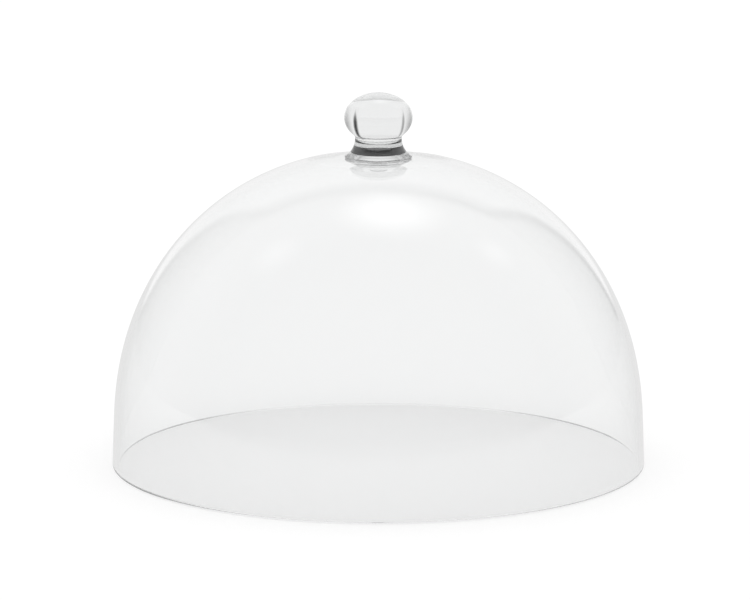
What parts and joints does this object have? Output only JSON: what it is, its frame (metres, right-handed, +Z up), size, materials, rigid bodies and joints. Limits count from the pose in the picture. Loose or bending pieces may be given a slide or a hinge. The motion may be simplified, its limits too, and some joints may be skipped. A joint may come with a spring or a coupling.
{
  "type": "food dome",
  "caption": "Clear polycarbonate food dome with a plain open rim and a flared ball knob on its levelled crown, lifted by the knob to cover food on a plate.",
  "frame": {"origin": "centre of the rim, on the plane that the dome rests on", "axes": "+Z up along the dome's axis, through the knob; the dome is round, so X and Y are alike"},
  "size_m": [0.3, 0.3, 0.208],
  "materials": {
    "clear_polycarbonate": "clear, polished",
    "black_rubber": "matt",
    "black_nylon": "moulded satin"
  },
  "bodies": {
    "root": {"dome_shell": "clear_polycarbonate", "knob": "clear_polycarbonate", "seal_washer": "black_rubber", "knob_insert": "black_nylon", "clamp_washer": "clear_polycarbonate", "knob_screw": "clear_polycarbonate"}
  },
  "joints": []
}
